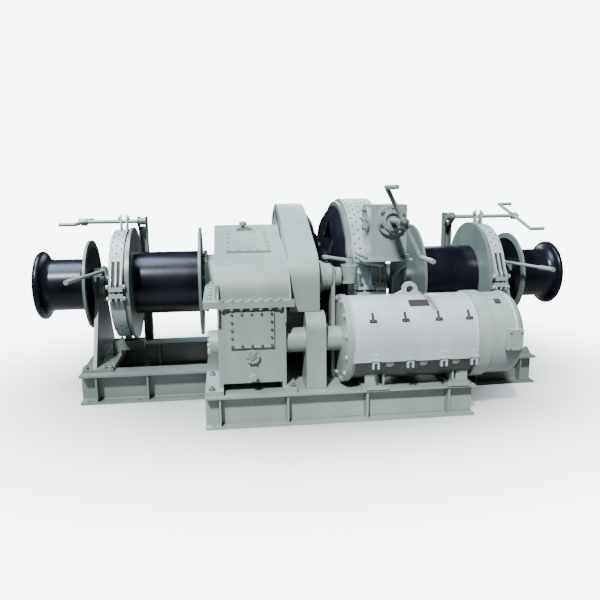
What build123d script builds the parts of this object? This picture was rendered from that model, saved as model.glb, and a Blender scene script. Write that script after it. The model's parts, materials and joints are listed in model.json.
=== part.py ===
"""Electric anchor windlass and mooring winch on one shaft, in millimetres.

+X runs along the main shaft to the right, +Y to the rear, +Z up. The origin lies on the
deck under the middle of the main shaft.
"""

from build123d import *
import os
from math import asin, atan2, cos, radians, sin, sqrt

os.makedirs("parts", exist_ok=True)

# Fits
running_gap = 0.05      # radial play of a shaft in its bush
seat_gap = 0.3          # space between round pieces that are fixed to each other
moving_gap = 6          # least space round a moving piece
crank_gap = 6.5         # least space between a crank and a warping head

# Main shaft and the clutch collars on it
shaft_z = 665
shaft_r = 60
collar_r = 88
collar_t = 52

# Mooring drums and their brake wheels
drum_r = 200
drum_in = 716
drum_length = 407
drum_out = drum_in + drum_length
inner_flange_r = 352
inner_flange_t = 16
outer_flange_r = 359
outer_flange_t = 18
wheel_r = 330
wheel_rim_t = 25
wheel_w = 105
wheel_in = drum_out + outer_flange_t
wheel_end = wheel_in + wheel_w
hub_r = 110
hub_end = wheel_end - 4
collar_in = hub_end + moving_gap
collar_out = collar_in + collar_t

# Brake bands of the drums
band_gap = 5
band_t = 10
band_w = 80
band_in = wheel_in + 17
band_out = band_in + band_w
band_lug = 34

# End pedestals
pedestal_in = collar_out + 46
pedestal_t = 22
pedestal_foot_half = 335
pedestal_plate_half = 368
pedestal_plate_in = pedestal_in - 102
pedestal_plate_out = pedestal_in + 80
pedestal_plate_t = 18
bearing_r = 103
bearing_in = pedestal_in - 31
bearing_out = pedestal_in + 38

# Warping heads, which end the shaft line
head_core_r = 163
head_root_r = 205
head_flare_r = 216
head_disc_r = 282
head_disc_in = bearing_out + 8
head_disc_t = 16
head_recess = 5
head_recess_r = 246
head_length = 330
head_end = head_disc_in + head_length
shaft_half = head_end - 7

# Welded frame
frame_half = pedestal_plate_out + 7
frame_y = pedestal_plate_half + 64
bed_left = -682
bed_right = 815
bed_front = -918
bed_plate_back = -440
beam_h = 180
flange_t = 12
web_t = 10
beam_w = 150
end_beam_w = 190
front_web_inset = 60
stiffener_inset = 95
stiffener_pitch = 300
foundation_hole_r = 13
foundation_hole_inset = 28
side_holes = (frame_half - 343, frame_half - 50)
bed_holes = (bed_left + 45, bed_right - 45)

# Gearbox
box_left = -604
box_right = -239
box_front = -840
box_back = 350
box_bottom = 228
cover_left = box_left - 10
cover_right = box_right + 28
cover_front = box_front + 10
split_left = box_left - 73
split_right = cover_right + 18
split_front = box_front - 26
split_back = box_back + 42
split_t = 18
gear_case_r = 365
slope_y = cover_front + 118
slope_z = shaft_z + 204
cover_corner_r = 170
boss_r = 175
boss_out = box_left - 90
foot_left = split_left + 1
foot_right = box_right + 52
foot_front = box_front - 55
foot_t = 26
rail_t = 22
fin_t = 10
fin_h = 85
input_y = -750
input_z = 438
housing_r = 69

# Gear guard
guard_left = cover_right
guard_right = -44
guard_r = 500
guard_pinion_y = -600
guard_pinion_z = shaft_z + 95
guard_pinion_r = 175
guard_front_bottom = 600
guard_front = guard_pinion_y - guard_pinion_r - 1

# Coupling cover
coupling_left = -128
coupling_right = -20
coupling_r = 97
coupling_arch_z = 503

# Motor
motor_flange_x = 70
motor_flange_t = 32
motor_flange_r = 244
motor_end = 790
motor_r = 230
skirt_h = 86
sheet_t = 6
ring_end = motor_end + 75
ring_r = 246
bell_end = motor_end + 276
bell_r = 232

# Cable lifter
chain_left = guard_right + 14
chain_right = 175
chain_rim_r = 440
chain_cone_r = 484
chain_root_r = 238
groove_w = 40
pocket_r = 275
pocket_w = 122
pocket_l = 205
pocket_depth = 130
pockets = 5

# Brake wheel of the cable lifter and its band, in two strips
anchor_wheel_r = 510
strip_w = 92
strip_one = chain_right + 30
strip_two = strip_one + strip_w + 6
anchor_wheel_end = strip_two + strip_w + 10
anchor_hub_end = anchor_wheel_end + 35
anchor_band_t = 12
anchor_lug = 28

# Brake box on its stand
box_x0 = strip_one + 50
box_x1 = box_x0 + 201
box_y0 = -720
box_y1 = -510
box_z0 = shaft_z + 207
box_z1 = box_z0 + 301
box_plate_t = 12
box_plate_left = box_x0 - 46
box_plate_right = box_x1 + 33
spindle_x = box_x0 + 110
spindle_z = box_z0 + 216
column_in = box_x1 - 14
column_out = box_x1 + 74
column_front = -490
column_back = -445

# Drum clutch levers
lever_x = collar_out
lever_y = -135
lever_z = shaft_z + 102
lever_r = 10
grip_r = 14
lever_boss_r = 22
pin_r = 9

# Brake cranks of the drums
crank_y = 335
crank_z = shaft_z + 380
crank_arm = sqrt(crank_y ** 2 + (crank_z - shaft_z) ** 2) - head_flare_r - crank_gap - 12
left_crank_x = -(head_disc_in + 108)
right_crank_x = head_disc_in + 223
spindle_r = 14
crank_bar_r = 12
crank_hub_r = 26
post_in = drum_out - 38
post_out = post_in + 60

# Crank of the anchor brake
centre_crank_y = box_y0 - 240
centre_crank_arm = 205

# Nut and screw of the anchor brake
screw_y = -(anchor_wheel_r + 68)
screw_x = spindle_x - 18
screw_r = 9

# Bearing of the pinion shaft and the lever on it
pinion_y = guard_pinion_y - 10
pinion_z = guard_pinion_z + 7
pinion_ring_r = 90
pinion_plate_x = 41
pinion_half = 58
lever_stand_x = 158
lever_stand_z = 830

SHAFT = Axis((0, 0, shaft_z), (1, 0, 0))
pieces = []


def finish(piece, name):
    """Label a finished piece and keep it for export."""
    piece.part.label = name
    pieces.append(piece.part)
    return piece.part


def i_beam(name, y_low, y_high, x_low, x_high, stiffeners, top=True, web_y=None, holes=()):
    """A welded I-beam along X with plates between its flanges at the stiffeners."""
    middle = (y_low + y_high) / 2 if web_y is None else web_y
    length = x_high - x_low
    width = y_high - y_low
    centre = (y_low + y_high) / 2
    web_top = beam_h - flange_t
    with BuildPart() as beam:
        with BuildSketch(Plane.YZ.offset(x_low)):
            with Locations((centre, flange_t / 2)):
                Rectangle(width, flange_t)
            with Locations((middle, beam_h / 2)):
                Rectangle(web_t, web_top - flange_t)
            if top:
                with Locations((centre, beam_h - flange_t / 2)):
                    Rectangle(width, flange_t)
        extrude(amount=length)
        with BuildSketch(Plane.XY.offset(flange_t)):
            with Locations(*[(x, centre) for x in stiffeners]):
                Rectangle(web_t, width - 2 * web_t)
        extrude(amount=web_top - flange_t)
        if holes:
            with Locations(*[(x, y, flange_t) for x, y in holes]):
                Hole(foundation_hole_r, depth=flange_t)
    return finish(beam, name)


def end_beam(name, side):
    """The I-beam along Y that closes a side frame."""
    x_mid = side * (frame_half - end_beam_w / 2)
    half = frame_y - beam_w
    with BuildPart() as beam:
        with BuildSketch(Plane.XZ.offset(-half)):
            with Locations((x_mid, flange_t / 2), (x_mid, beam_h - flange_t / 2)):
                Rectangle(end_beam_w, flange_t)
            with Locations((x_mid, beam_h / 2)):
                Rectangle(web_t, beam_h - 2 * flange_t)
        extrude(amount=2 * half)
    return finish(beam, name)


def side_frame(side):
    """Front beam and end beam of one side frame."""
    word = "left" if side < 0 else "right"
    inner = bed_left if side < 0 else bed_right
    outer = side * frame_half
    x_low = min(inner, outer)
    x_high = max(inner, outer)
    hole_y = -frame_y + foundation_hole_inset
    stiffeners = (outer - side * stiffener_inset,
                  outer - side * (stiffener_inset + stiffener_pitch))
    i_beam(word + "_front_beam", -frame_y, -frame_y + beam_w, x_low, x_high, stiffeners,
           holes=[(side * x, hole_y) for x in side_holes])
    end_beam(word + "_end_beam", side)


def bed():
    """Rear beam, deck plate, front beam and cross beams of the middle bed."""
    rear_xs = [side * x for side in (-1, 1) for x in side_holes] + list(bed_holes)
    rear_holes = [(x, frame_y - foundation_hole_inset) for x in rear_xs]
    outer = frame_half - stiffener_inset
    rear_stiffeners = [side * x for side in (-1, 1)
                       for x in (outer, outer - stiffener_pitch, -bed_left, box_plate_left)]
    i_beam("rear_beam", frame_y - beam_w, frame_y, -frame_half, frame_half,
           rear_stiffeners, holes=rear_holes)
    with BuildPart() as plate:
        with BuildSketch(Plane.XY.offset(beam_h - flange_t)):
            with Locations(((bed_left + bed_right) / 2, (bed_front + bed_plate_back) / 2)):
                Rectangle(bed_right - bed_left, bed_plate_back - bed_front)
        extrude(amount=flange_t)
    finish(plate, "bed_plate")
    front_holes = [(x, bed_front + foundation_hole_inset) for x in bed_holes]
    i_beam("bed_front_beam", bed_front, bed_front + beam_w, bed_left, bed_right,
           (box_left, box_right, 200, motor_end - 124), top=False, web_y=bed_front + front_web_inset,
           holes=front_holes)
    start = bed_front + beam_w
    stop = frame_y - beam_w
    with BuildPart() as cross:
        for x_low, x_high in ((bed_left, bed_left + 120), (box_right - 51, box_right + 89),
                              (column_out + 10, column_out + 160), (bed_right - 100, bed_right)):
            middle = (x_low + x_high) / 2
            with BuildSketch(Plane.XZ.offset(-start)):
                with Locations((middle, flange_t / 2)):
                    Rectangle(x_high - x_low, flange_t)
                with Locations((middle, beam_h / 2)):
                    Rectangle(web_t, beam_h - 2 * flange_t)
            extrude(amount=-(stop - start))
            with BuildSketch(Plane.XZ.offset(-bed_plate_back)):
                with Locations((middle, beam_h - flange_t / 2)):
                    Rectangle(x_high - x_low, flange_t)
            extrude(amount=-(stop - bed_plate_back))
    finish(cross, "bed_cross_beams")


def gearbox():
    """Split gearbox: lower half on feet, curved upper half, covers and caps."""
    with BuildPart() as lower:
        with BuildSketch(Plane.YZ.offset(box_left)):
            with BuildLine():
                Polyline((box_front, box_bottom), (box_back, box_bottom),
                         (box_back, shaft_z - split_t), (box_front, shaft_z - split_t),
                         close=True)
            make_face()
        extrude(amount=box_right - box_left)
        with BuildSketch(Plane.XY.offset(shaft_z - split_t)):
            with Locations(((split_left + cover_right) / 2, (split_front + split_back) / 2)):
                Rectangle(cover_right - split_left, split_back - split_front)
            with Locations(((split_left + split_right) / 2, (split_front + guard_front) / 2)):
                Rectangle(split_right - split_left, guard_front - split_front)
        extrude(amount=split_t)
        for x_low, x_high, rail in ((foot_left, box_left + rail_t, box_left),
                                    (box_right - rail_t, foot_right, box_right - rail_t)):
            for y_low, y_high in ((foot_front, -560), (210, 275)):
                with BuildSketch(Plane.XY.offset(beam_h)):
                    with Locations(((x_low + x_high) / 2, (y_low + y_high) / 2)):
                        Rectangle(x_high - x_low, y_high - y_low)
                extrude(amount=foot_t)
            with BuildSketch(Plane.XY.offset(beam_h)):
                with Locations((rail + rail_t / 2, (box_front + 270) / 2)):
                    Rectangle(rail_t, 270 - box_front)
            extrude(amount=box_bottom - beam_h)
        with BuildSketch(Plane.YZ.offset(box_left)):
            with Locations((input_y, input_z)):
                Circle(housing_r)
        extrude(amount=-46)
        with BuildSketch(Plane.YZ.offset(box_left)):
            with Locations((0, shaft_z)):
                Circle(boss_r)
            with Locations((0, shaft_z + boss_r)):
                Rectangle(2 * boss_r, 2 * boss_r, mode=Mode.SUBTRACT)
        extrude(amount=boss_out - box_left)
        with BuildSketch(Plane.XZ.offset(-box_front)):
            with Locations((box_left + fin_t / 2, shaft_z - split_t - fin_h / 2),
                           (box_right - fin_t / 2, shaft_z - split_t - fin_h / 2)):
                Rectangle(fin_t, fin_h)
        extrude(amount=box_front - split_front)
        with BuildSketch(Plane.YZ.offset(split_left - 30)):
            with Locations((0, shaft_z)):
                Circle(shaft_r + running_gap)
        extrude(amount=split_right - split_left + 60, mode=Mode.SUBTRACT)
    finish(lower, "gearbox_lower")

    start = (slope_y, slope_z)
    reach = sqrt(start[0] ** 2 + (start[1] - shaft_z) ** 2)
    aim = atan2(shaft_z - start[1], -start[0]) + asin(gear_case_r / reach)
    run = sqrt(reach ** 2 - gear_case_r ** 2)
    touch = (start[0] + run * cos(aim), start[1] + run * sin(aim))
    corner_z = start[1] - (start[0] - cover_front) * sin(aim) / cos(aim)
    with BuildPart() as upper:
        with BuildSketch(Plane.YZ.offset(cover_left)) as side:
            with BuildLine():
                Polyline((cover_front, shaft_z), (cover_front, corner_z), touch)
                crown = (gear_case_r * cos(radians(60)), shaft_z + gear_case_r * sin(radians(60)))
                ThreePointArc(touch, crown, (gear_case_r, shaft_z))
                Line((gear_case_r, shaft_z), (cover_front, shaft_z))
            make_face()
            corner = side.vertices().group_by(Axis.X)[0].sort_by(Axis.Y)[-1]
            fillet(corner, cover_corner_r)
        extrude(amount=cover_right - cover_left)
        with BuildSketch(Plane.XY.offset(shaft_z)):
            with Locations(((split_left + cover_right) / 2, (split_front + split_back) / 2)):
                Rectangle(cover_right - split_left, split_back - split_front)
            with Locations(((split_left + split_right) / 2, (split_front + guard_front) / 2)):
                Rectangle(split_right - split_left, guard_front - split_front)
        extrude(amount=split_t)
        with BuildSketch(Plane.YZ.offset(cover_left)):
            with Locations((0, shaft_z)):
                Circle(boss_r)
            with Locations((0, shaft_z - boss_r)):
                Rectangle(2 * boss_r, 2 * boss_r, mode=Mode.SUBTRACT)
        extrude(amount=boss_out - cover_left)
        for x_fin in (box_left, cover_right - fin_t):
            with BuildSketch(Plane.YZ.offset(x_fin)):
                with BuildLine():
                    Polyline((split_front, shaft_z + split_t), (cover_front + 30, shaft_z + split_t),
                             (cover_front + 30, shaft_z + split_t + fin_h),
                             (cover_front, shaft_z + split_t + fin_h), close=True)
                make_face()
            extrude(amount=fin_t)
        with BuildSketch(Plane.YZ.offset(split_left - 30)):
            with Locations((0, shaft_z)):
                Circle(shaft_r + running_gap)
        extrude(amount=split_right - split_left + 60, mode=Mode.SUBTRACT)
    finish(upper, "gearbox_upper")

    middle = (box_left + box_right) / 2
    slope = Plane(origin=(middle, start[0], start[1]), x_dir=(1, 0, 0),
                  z_dir=(0, -sin(aim), cos(aim)))
    with BuildPart() as covers:
        with BuildSketch(slope):
            with Locations((0, 345)):
                Rectangle(250, 370)
        extrude(amount=12)
        with BuildSketch(slope):
            with Locations((-10, run - 20)):
                Circle(14)
        extrude(amount=24)
        with BuildSketch(slope.offset(24)):
            with Locations((-10, run - 20)):
                Circle(24)
        extrude(amount=16)
        with BuildSketch(Plane.XZ.offset(-box_front)):
            with Locations((middle, 525)):
                Rectangle(235, 195)
        extrude(amount=14)
        with BuildSketch(Plane.XZ.offset(-box_front)):
            with Locations((middle, 378)):
                Circle(38)
        extrude(amount=18)
        with BuildSketch(Plane.XZ.offset(-box_front)):
            with Locations((middle, 268)):
                Circle(15)
        extrude(amount=30)
    finish(covers, "gearbox_covers")


def gear_guard():
    """Guard over the open gear: the hull of the gear circle and the pinion circle."""
    span = sqrt(guard_pinion_y ** 2 + (guard_pinion_z - shaft_z) ** 2)
    lean = atan2(guard_pinion_z - shaft_z, guard_pinion_y)
    tilt = lean - asin(1) + asin((guard_r - guard_pinion_r) / span)
    big = (guard_r * cos(tilt), shaft_z + guard_r * sin(tilt))
    small = (guard_pinion_y + guard_pinion_r * cos(tilt),
             guard_pinion_z + guard_pinion_r * sin(tilt))
    front = guard_pinion_y - guard_pinion_r
    base_y = sqrt(guard_r ** 2 - (shaft_z - beam_h) ** 2)
    front_arc = -sqrt(guard_r ** 2 - (shaft_z - guard_front_bottom) ** 2)
    with BuildPart() as guard:
        with BuildSketch(Plane.YZ.offset(guard_left)):
            with BuildLine():
                ThreePointArc((base_y, beam_h), (guard_r, shaft_z), (0, shaft_z + guard_r))
                ThreePointArc((0, shaft_z + guard_r),
                              (guard_r * cos((tilt + radians(90)) / 2),
                               shaft_z + guard_r * sin((tilt + radians(90)) / 2)), big)
                Line(big, small)
                ThreePointArc(small, (guard_pinion_y + guard_pinion_r * cos(radians(150)),
                                      guard_pinion_z + guard_pinion_r * sin(radians(150))),
                              (front, guard_pinion_z))
                Polyline((front, guard_pinion_z), (front, guard_front_bottom),
                         (front_arc, guard_front_bottom))
                ThreePointArc((front_arc, guard_front_bottom),
                              (guard_r * cos(radians(215)), shaft_z + guard_r * sin(radians(215))),
                              (-base_y, beam_h))
                Line((-base_y, beam_h), (base_y, beam_h))
            make_face()
        extrude(amount=guard_right - guard_left)
        with BuildSketch(Plane.YZ.offset(guard_left)):
            with Locations((0, shaft_z)):
                Circle(shaft_r + moving_gap)
        extrude(amount=guard_right - guard_left, mode=Mode.SUBTRACT)
    finish(guard, "gear_guard")


def coupling():
    """Arched cover over the motor coupling, and the bearing housings each side of it."""
    with BuildPart() as cover:
        with BuildSketch(Plane.YZ.offset(coupling_left)):
            with BuildLine():
                Polyline((input_y - coupling_r, coupling_arch_z), (input_y - coupling_r, beam_h),
                         (input_y + coupling_r, beam_h), (input_y + coupling_r, coupling_arch_z))
                ThreePointArc((input_y + coupling_r, coupling_arch_z),
                              (input_y, coupling_arch_z + coupling_r),
                              (input_y - coupling_r, coupling_arch_z))
            make_face()
        extrude(amount=coupling_right - coupling_left)
    finish(cover, "coupling_cover")
    with BuildPart() as housings:
        for x_low, x_high in ((box_right, coupling_left), (coupling_right, motor_flange_x)):
            with BuildSketch(Plane.YZ.offset(x_low)):
                with Locations((input_y, input_z)):
                    Circle(housing_r)
            extrude(amount=x_high - x_low)
    finish(housings, "coupling_housings")


def motor():
    """Flange motor on two feet under a drip cover, with its end bell."""
    with BuildPart() as body:
        with BuildSketch(Plane.YZ.offset(motor_flange_x)):
            with Locations((input_y, input_z)):
                Circle(motor_flange_r)
        extrude(amount=motor_flange_t)
        with BuildSketch(Plane.YZ.offset(motor_flange_x + motor_flange_t)):
            with Locations((input_y, input_z)):
                Circle(motor_r)
        extrude(amount=motor_end - motor_flange_x - motor_flange_t)
        for x_low, x_high in ((171, 298), (655, 783)):
            with BuildSketch(Plane.XY.offset(beam_h)):
                with Locations(((x_low + x_high) / 2, input_y)):
                    Rectangle(x_high - x_low, 300)
            extrude(amount=18)
            with BuildSketch(Plane.XY.offset(beam_h)):
                with Locations(((x_low + x_high) / 2, input_y)):
                    Rectangle(x_high - x_low - 50, 240)
            extrude(amount=input_z - motor_r - beam_h + 60)
    finish(body, "motor_body")
    sheet_in = motor_r + seat_gap
    eye_x = (motor_flange_x + motor_end) / 2 + 40
    sheet_out = sheet_in + sheet_t
    with BuildPart() as sheet:
        with BuildSketch(Plane.YZ.offset(motor_flange_x + motor_flange_t)):
            with Locations((input_y, input_z)):
                Circle(sheet_out)
                Circle(sheet_in, mode=Mode.SUBTRACT)
            with Locations((input_y, input_z - sheet_out)):
                Rectangle(3 * sheet_out, 2 * sheet_out, mode=Mode.SUBTRACT)
            with Locations((input_y - sheet_in - sheet_t / 2, input_z + 4 - skirt_h / 2),
                           (input_y + sheet_in + sheet_t / 2, input_z + 4 - skirt_h / 2)):
                Rectangle(sheet_t, skirt_h)
        extrude(amount=motor_end - motor_flange_x - motor_flange_t)
        with BuildSketch(Plane.XZ.offset(-(input_y - 12))):
            with BuildLine():
                Polyline((eye_x - 95, sheet_out + input_z - 2), (eye_x + 95, sheet_out + input_z - 2),
                         (eye_x + 42, sheet_out + input_z + 22),
                         (eye_x - 42, sheet_out + input_z + 22), close=True)
            make_face()
            with Locations((eye_x, input_z + sheet_out + 28)):
                Circle(44)
            with Locations((eye_x, input_z + sheet_out + 30)):
                Circle(21, mode=Mode.SUBTRACT)
            with Locations((eye_x, input_z + sheet_out - 52)):
                Rectangle(200, 100, mode=Mode.SUBTRACT)
        extrude(amount=-24)
    finish(sheet, "motor_cover")
    with BuildPart() as bell:
        with BuildSketch(Plane.YZ.offset(motor_end)):
            with Locations((input_y, input_z)):
                Circle(ring_r)
        extrude(amount=ring_end - motor_end)
        with BuildSketch(Plane.YZ.offset(ring_end)):
            with Locations((input_y, input_z)):
                Circle(bell_r)
        extrude(amount=bell_end - ring_end)
        fillet(bell.faces().sort_by(Axis.X)[-1].edges(), 50)
        with BuildSketch(Plane.YZ.offset(bell_end)):
            with Locations((input_y, input_z)):
                Circle(95)
        extrude(amount=22)
    finish(bell, "motor_end_bell")
    with BuildPart() as box:
        with BuildSketch(Plane.XZ.offset(-(input_y - bell_r + 30))):
            with Locations((bell_end - 81, input_z + 17)):
                Rectangle(84, 112)
        extrude(amount=66)
        with BuildSketch(Plane.YZ.offset(ring_end)):
            with Locations((input_y, input_z)):
                Circle(bell_r + seat_gap)
        extrude(amount=bell_end - ring_end, mode=Mode.SUBTRACT)
    finish(box, "motor_terminal_box")


def pedestal(name, x_plate, thickness, side, x_bearing, x_base, foot, base_half):
    """A plate pedestal with a round bearing for the main shaft on a bolted base plate."""
    foot_z = beam_h + pedestal_plate_t
    with BuildPart() as stand:
        with BuildSketch(Plane.XY.offset(beam_h)):
            with Locations((side * (x_base[0] + x_base[1]) / 2, 0)):
                Rectangle(x_base[1] - x_base[0], 2 * base_half)
        extrude(amount=pedestal_plate_t)
        with BuildSketch(Plane.YZ.offset(side * x_plate)):
            with BuildLine():
                Polyline((-foot, foot_z), (foot, foot_z), (bearing_r, shaft_z),
                         (-bearing_r, shaft_z), close=True)
            make_face()
            with Locations((0, shaft_z)):
                Circle(bearing_r)
        extrude(amount=side * thickness)
        with BuildSketch(Plane.YZ.offset(side * x_bearing[0])):
            with Locations((0, shaft_z)):
                Circle(bearing_r)
        extrude(amount=side * (x_bearing[1] - x_bearing[0]))
        with BuildSketch(Plane.YZ.offset(side * x_bearing[0])):
            with Locations((0, shaft_z)):
                Circle(shaft_r + running_gap)
        extrude(amount=side * (x_bearing[1] - x_bearing[0]), mode=Mode.SUBTRACT)
        if x_plate == pedestal_in:
            with BuildSketch(Plane.XY.offset(lever_z - 32)):
                with Locations((side * (pedestal_in + lever_x - 25) / 2, lever_y)):
                    Rectangle(pedestal_in - lever_x + 25, 60)
            extrude(amount=12)
            with BuildSketch(Plane.XY.offset(lever_z - 20)):
                with Locations((side * lever_x, lever_y)):
                    Circle(pin_r)
            extrude(amount=52)
            with BuildSketch(Plane.YZ.offset(side * pedestal_in)):
                with BuildLine():
                    Polyline((lever_y - 30, lever_z - 20), (0, lever_z - 20), (0, shaft_z + 60),
                             (-70, shaft_z + 60), (lever_y - 30, lever_z - 60), close=True)
                make_face()
            extrude(amount=side * pedestal_t)
    return finish(stand, name)


def band(name, side, x_low, x_high, r_in, thickness, half, lug, ears=()):
    """Half of a brake band with end lugs; half is +1 for the upper half, -1 for the lower."""
    r_out = r_in + thickness
    gap = 8
    with BuildPart() as strap:
        for low, high in zip(x_low, x_high):
            with BuildSketch(Plane.YZ.offset(side * low)):
                with Locations((0, shaft_z)):
                    Circle(r_out)
                    Circle(r_in, mode=Mode.SUBTRACT)
                with Locations((0, shaft_z + half * (gap - r_out - 1))):
                    Rectangle(2 * r_out + 4, 2 * r_out + 2, mode=Mode.SUBTRACT)
            extrude(amount=side * (high - low))
        first = x_low[0]
        last = x_high[-1]
        with BuildSketch(Plane.XY.offset(shaft_z + half * gap)):
            with Locations((side * (first + last) / 2, -(r_out + lug / 2 - thickness / 2)),
                           (side * (first + last) / 2, r_out + lug / 2 - thickness / 2)):
                Rectangle(last - first, lug + thickness)
        extrude(amount=half * 24)
        for share in (0.12, 0.5, 0.88):
            x_rib = side * (first + share * (last - first))
            with BuildSketch(Plane.YZ.offset(x_rib - 6)):
                for front in (-1, 1):
                    with BuildLine():
                        rise = 120
                        foot = front * (r_out + lug)
                        near = front * (sqrt(r_out ** 2 - rise ** 2) - 4)
                        Polyline((front * (r_out - 4), shaft_z + half * gap),
                                 (foot, shaft_z + half * gap),
                                 (foot, shaft_z + half * (gap + 40)),
                                 (near, shaft_z + half * rise), close=True)
                    make_face()
            extrude(amount=12)
        with BuildSketch(Plane.YZ.offset(side * first - side * 1)):
            with Locations((0, shaft_z)):
                Circle(r_in)
        extrude(amount=side * (last - first + 2), mode=Mode.SUBTRACT)
        if half > 0:
            with BuildSketch(Plane.XY.offset(shaft_z - gap)):
                with Locations(*[(side * (first + share * (last - first)), y)
                                 for share in (0.3, 0.7)
                                 for y in (-(r_out + lug / 2), r_out + lug / 2)]):
                    Circle(7)
            extrude(amount=2 * gap)
        for x_ear in ears:
            with BuildSketch(Plane.YZ.offset(side * x_ear - 4)):
                with BuildLine():
                    Polyline((-40, shaft_z + r_out - 4), (-6, crank_z + 62), (6, crank_z + 62),
                             (40, shaft_z + r_out - 4), close=True)
                make_face()
            extrude(amount=8)
    return finish(strap, name)


def drum(side):
    """Mooring drum barrel, its flanges and its brake wheel."""
    word = "left" if side < 0 else "right"
    bore = shaft_r + running_gap
    with BuildPart() as barrel:
        with BuildSketch(Plane.YZ.offset(side * drum_in)):
            with Locations((0, shaft_z)):
                Circle(drum_r)
                Circle(bore, mode=Mode.SUBTRACT)
        extrude(amount=side * (drum_out - drum_in))
    finish(barrel, word + "_drum")
    with BuildPart() as flanges:
        with BuildSketch(Plane.XZ):
            with BuildLine():
                Polyline(*[(side * x, shaft_z + r) for x, r in (
                    (drum_out, bore), (drum_out, outer_flange_r),
                    (drum_out + outer_flange_t, outer_flange_r),
                    (drum_out + outer_flange_t, wheel_r), (wheel_end, wheel_r),
                    (wheel_end, wheel_r - wheel_rim_t),
                    (drum_out + outer_flange_t, wheel_r - wheel_rim_t),
                    (drum_out + outer_flange_t, hub_r), (hub_end, hub_r), (hub_end, bore))],
                    close=True)
            make_face()
        revolve(axis=SHAFT)
        with BuildSketch(Plane.XZ):
            with Locations((side * (drum_in - inner_flange_t / 2),
                            shaft_z + (inner_flange_r + bore) / 2)):
                Rectangle(inner_flange_t, inner_flange_r - bore)
        revolve(axis=SHAFT)
    finish(flanges, word + "_drum_flanges")


def warping_head(side):
    """Black warping head: an inner disc, and the barrel with its rounded outer flare."""
    word = "left" if side < 0 else "right"
    bore = shaft_r + seat_gap
    disc_out = head_disc_in + head_disc_t
    rise = head_root_r - head_core_r
    neck = head_end - 85
    with BuildPart() as disc:
        with BuildSketch(Plane.XZ):
            with BuildLine():
                Polyline(*[(side * x, shaft_z + r) for x, r in (
                    (head_disc_in, head_recess_r), (head_disc_in, head_disc_r),
                    (disc_out, head_disc_r), (disc_out, bore), (head_disc_in + head_recess, bore),
                    (head_disc_in + head_recess, head_recess_r))], close=True)
            make_face()
        revolve(axis=SHAFT)
    finish(disc, word + "_head_disc")
    with BuildPart() as head:
        with BuildSketch(Plane.XZ):
            with BuildLine():
                ThreePointArc((side * disc_out, shaft_z + head_root_r),
                              (side * (disc_out + 0.3 * rise), shaft_z + head_core_r + 0.3 * rise),
                              (side * (disc_out + rise), shaft_z + head_core_r))
                Line((side * (disc_out + rise), shaft_z + head_core_r),
                     (side * neck, shaft_z + head_core_r))
                ThreePointArc((side * neck, shaft_z + head_core_r),
                              (side * (head_end - 57), shaft_z + head_core_r + 14),
                              (side * (head_end - 38), shaft_z + head_flare_r - 6))
                ThreePointArc((side * (head_end - 38), shaft_z + head_flare_r - 6),
                              (side * (head_end - 16), shaft_z + head_flare_r),
                              (side * head_end, shaft_z + head_flare_r - 20))
                Polyline(*[(side * x, shaft_z + r) for x, r in (
                    (head_end, head_flare_r - 20), (head_end, bore), (disc_out, bore),
                    (disc_out, head_root_r))])
            make_face()
        revolve(axis=SHAFT)
    finish(head, word + "_warping_head")


def main_shaft():
    """The main shaft with its clutch collars."""
    with BuildPart() as shaft:
        with BuildSketch(Plane.YZ.offset(-shaft_half)):
            with Locations((0, shaft_z)):
                Circle(shaft_r)
        extrude(amount=2 * shaft_half)
        for low in (-collar_out, collar_in, anchor_hub_end + 12, anchor_hub_end + 76):
            with BuildSketch(Plane.YZ.offset(low)):
                with Locations((0, shaft_z)):
                    Circle(collar_r)
            extrude(amount=collar_t)
    finish(shaft, "main_shaft")


def chain_wheel():
    """Cable lifter: a groove for the upright links and pockets for the flat ones between whelps."""
    bore = shaft_r + running_gap
    middle = (chain_left + chain_right) / 2
    half = groove_w / 2
    with BuildPart() as wheel:
        with BuildSketch(Plane.XZ):
            with BuildLine():
                Polyline(*[(x, shaft_z + r) for x, r in (
                    (chain_left, bore), (chain_left, chain_rim_r), (chain_left + 12, chain_rim_r),
                    (middle - 62, chain_rim_r - 38), (middle - 46, chain_root_r + 90),
                    (middle - half, chain_root_r + 62), (middle - half, chain_root_r),
                    (middle + half, chain_root_r), (middle + half, chain_root_r + 62),
                    (middle + 31, chain_root_r + 92), (middle + 38, chain_rim_r - 35),
                    (middle + 66, chain_rim_r + 8), (chain_right - 8, chain_cone_r),
                    (chain_right, chain_cone_r), (chain_right, bore))], close=True)
            make_face()
        revolve(axis=SHAFT)
        for k in range(pockets):
            turn = radians(360 * (k + 0.5) / pockets)
            out = Vector(0, -sin(turn), cos(turn))
            floor = Vector(middle, 0, shaft_z) + out * pocket_r
            with Locations(Plane(origin=floor, x_dir=(1, 0, 0), z_dir=out)):
                Box(pocket_w, pocket_l, pocket_depth,
                    align=(Align.CENTER, Align.CENTER, Align.MIN), mode=Mode.SUBTRACT)
    finish(wheel, "chain_wheel")
    rim_in = anchor_wheel_r - wheel_rim_t
    web_out = chain_right + 30
    anchor_hub_r = hub_r + 20
    with BuildPart() as brake:
        with BuildSketch(Plane.XZ):
            with BuildLine():
                Polyline(*[(x, shaft_z + r) for x, r in (
                    (chain_right, bore), (chain_right, anchor_wheel_r),
                    (anchor_wheel_end, anchor_wheel_r), (anchor_wheel_end, rim_in),
                    (web_out, rim_in), (web_out, anchor_hub_r),
                    (anchor_hub_end, anchor_hub_r), (anchor_hub_end, bore))], close=True)
            make_face()
        revolve(axis=SHAFT)
    finish(brake, "anchor_brake_wheel")


def rod(start, end, radius):
    """Add a round bar between two points to the open part."""
    line = Vector(*end) - Vector(*start)
    with Locations(Plane(origin=start, z_dir=line)):
        Cylinder(radius, line.length, align=(Align.CENTER, Align.CENTER, Align.MIN))


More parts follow.
